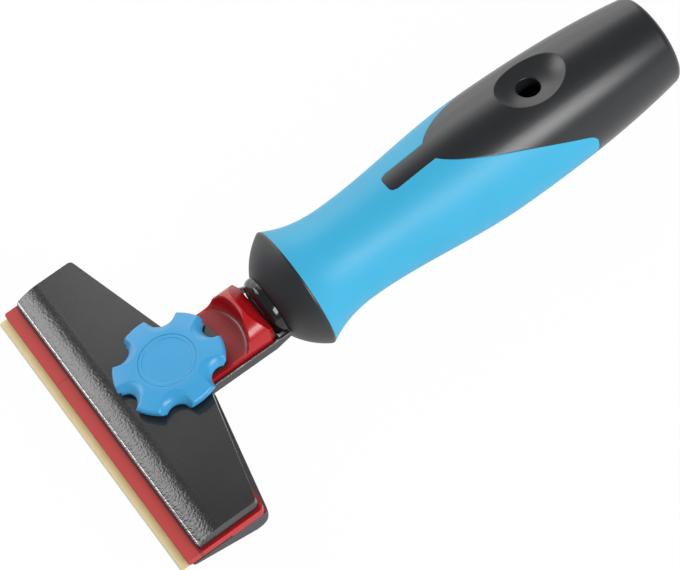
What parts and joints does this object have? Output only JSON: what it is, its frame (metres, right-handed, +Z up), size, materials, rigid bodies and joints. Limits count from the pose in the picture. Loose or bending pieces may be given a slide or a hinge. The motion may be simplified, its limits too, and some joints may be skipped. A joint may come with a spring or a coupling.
{
  "type": "window scraper",
  "caption": "Hand scraper for glass: a wide blade in a sliding carrier under a bent clamp plate, held by a lobed hand knob, on a contoured grip with a pole socket.",
  "frame": {"origin": "Middle of the bottom of the part's box: under the middle of its length and width, at the height of the flare's lowest point.", "axes": "X runs along the blade, +Y from the blade's edge back to the end of the handle, +Z up from the blade to the knob."},
  "size_m": [0.1006, 0.1916, 0.0363],
  "materials": {
    "base_plastic": "satin moulded plastic",
    "black_coat": "glossy black powder coat with orange peel",
    "red_plastic": "semi-gloss moulded plastic",
    "blade_steel": "tan coated blade with a bright ground edge",
    "knob_plastic": "semi-gloss moulded plastic",
    "zinc_steel": "bright zinc plate",
    "collar_black": "high gloss black",
    "handle_plastic": "fine-grained satin plastic",
    "grip_rubber": "satin soft grip"
  },
  "bodies": {
    "head_and_handle": {"base_shoe": "base_plastic", "neck_channel": "black_coat", "neck_rivets": "zinc_steel", "clamp_plate": "black_coat", "captive_nut": "zinc_steel", "neck_collar": "collar_black", "tang_rod": "zinc_steel", "handle_core": "handle_plastic", "grip_sleeve": "grip_rubber", "tang_washer": "zinc_steel", "tang_nut": "zinc_steel"},
    "carrier": {"blade_carrier": "red_plastic", "scraper_blade": "blade_steel"},
    "knob_lift": {"knob_washer": "zinc_steel"},
    "knob": {"clamp_knob": "knob_plastic", "knob_cap": "knob_plastic", "clamp_screw": "zinc_steel"}
  },
  "joints": [
    {"name": "carrier_slide", "type": "slide", "parent": "head_and_handle", "child": "carrier", "axis": [0, -1, 0], "range_m": [0, 0.006]},
    {"name": "knob_rise", "type": "slide", "parent": "head_and_handle", "child": "knob_lift", "axis": [0, 0, 1], "range_m": [0, 0.0016]},
    {"name": "knob_turn", "type": "hinge", "parent": "knob_lift", "child": "knob", "pos_m": [0, -0.06605, 0.02115], "axis": [0, 0, 1], "range_deg": [0, 540]}
  ],
  "couplings": [
    {"joint": "knob_rise", "follows": "knob_turn", "m_per_rad": 0.00015915}
  ]
}
